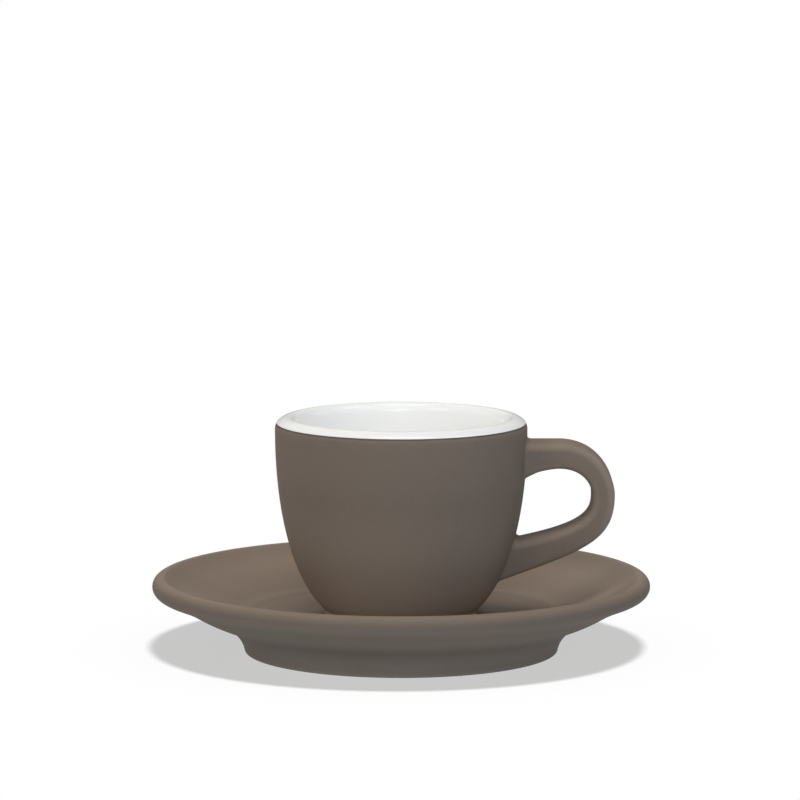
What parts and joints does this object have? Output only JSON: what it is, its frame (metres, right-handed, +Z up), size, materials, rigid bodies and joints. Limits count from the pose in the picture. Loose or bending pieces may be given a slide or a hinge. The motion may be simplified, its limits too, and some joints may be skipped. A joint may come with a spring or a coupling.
{
  "type": "espresso cup and saucer",
  "caption": "Thick-walled espresso cup with a strap handle and white inside, standing in the flat well of a round saucer with a sloping dish and a flared foot.",
  "frame": {"origin": "centre of the saucer's foot, on the plane it stands on", "axes": "+Z up along the axis of the saucer and the cup, +X towards the cup's handle, +Y away from the picture's viewer"},
  "size_m": [0.122, 0.122, 0.0578],
  "materials": {
    "matt_taupe_glaze": "matt",
    "white_gloss_glaze": "gloss",
    "bare_clay": "bare, ground flat"
  },
  "bodies": {
    "saucer": {"saucer_plate": "matt_taupe_glaze", "saucer_foot_band": "bare_clay"},
    "cup": {"cup_bowl": "matt_taupe_glaze", "cup_liner": "white_gloss_glaze", "cup_handle": "matt_taupe_glaze", "cup_foot_band": "bare_clay"}
  },
  "joints": [
    {"name": "cup_lift", "type": "slide", "parent": "saucer", "child": "cup", "axis": [0, 0, 1], "range_m": [0, 0.06]}
  ]
}
